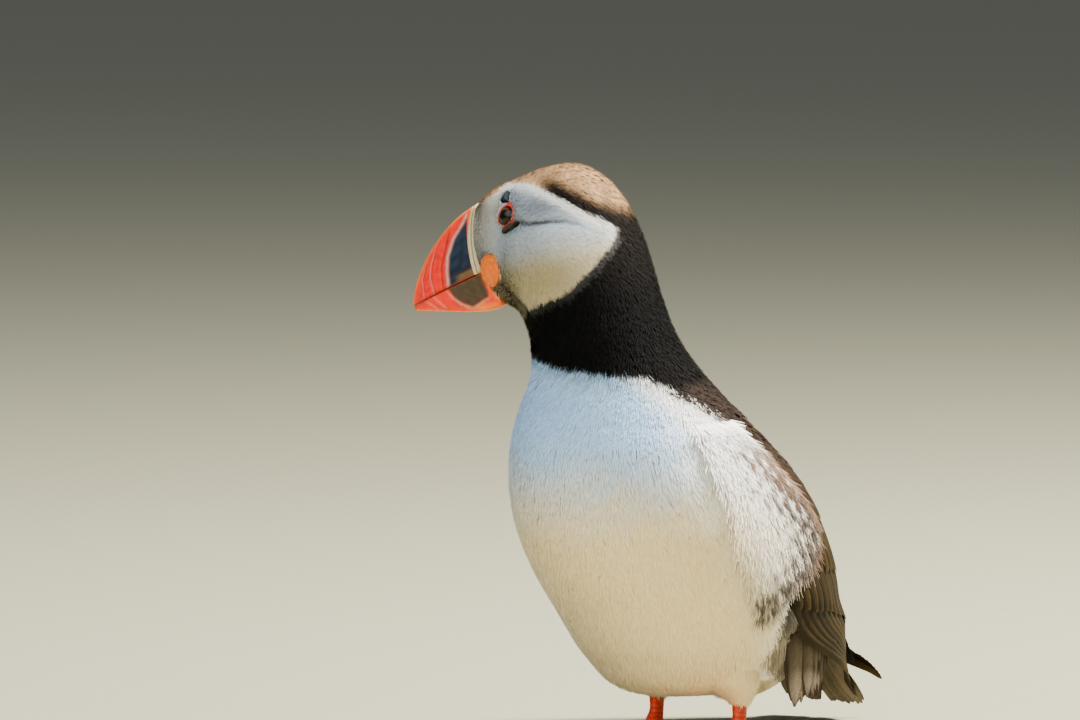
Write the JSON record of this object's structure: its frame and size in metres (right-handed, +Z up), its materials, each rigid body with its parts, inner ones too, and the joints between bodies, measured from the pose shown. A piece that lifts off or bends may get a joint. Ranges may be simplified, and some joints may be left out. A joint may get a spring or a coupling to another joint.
{
  "type": "atlantic puffin",
  "caption": "Life-size still model of a standing Atlantic puffin with its head turned to its right, wings folded and webbed feet flat on the floor.",
  "frame": {"origin": "middle of the bird's box, on the floor under its feet", "axes": "+Z up; the body faces -Y and +X is the bird's left; the head is turned to the bird's right"},
  "size_m": [0.1166, 0.1638, 0.2056],
  "materials": {
    "black_feather": "soft black neck plumage",
    "white_feather": "silky white breast and belly plumage",
    "face_feather": "fine pale grey face plumage under a sepia crown",
    "wing_feather": "brown-black wing and tail feathers",
    "bill_horn": "grooved horn, red-orange with a slate blue base",
    "bill_cere": "raised cream band",
    "rosette_skin": "wrinkled yellow-orange skin at the gape",
    "eye_glass": "wet dark brown eye",
    "eye_plate": "blue-grey horny plate",
    "leg_skin": "orange scaled skin",
    "claw_horn": "dark horn"
  },
  "bodies": {
    "root": {"head": "face_feather", "neck": "black_feather", "trunk": "white_feather", "tail": "wing_feather", "wing_left": "wing_feather", "wing_right": "wing_feather", "bill_upper": "bill_horn", "bill_lower": "bill_horn", "bill_cere": "bill_cere", "rosette_left": "rosette_skin", "rosette_right": "rosette_skin", "eye_left": "eye_glass", "eye_right": "eye_glass", "brow_plate_left": "eye_plate", "brow_plate_right": "eye_plate", "lower_plate_left": "eye_plate", "lower_plate_right": "eye_plate", "thigh_left": "white_feather", "thigh_right": "white_feather", "leg_left": "leg_skin", "leg_right": "leg_skin", "foot_left": "leg_skin", "foot_right": "leg_skin", "claw_inner_left": "claw_horn", "claw_middle_left": "claw_horn", "claw_outer_left": "claw_horn", "claw_inner_right": "claw_horn", "claw_middle_right": "claw_horn", "claw_outer_right": "claw_horn"}
  },
  "joints": []
}
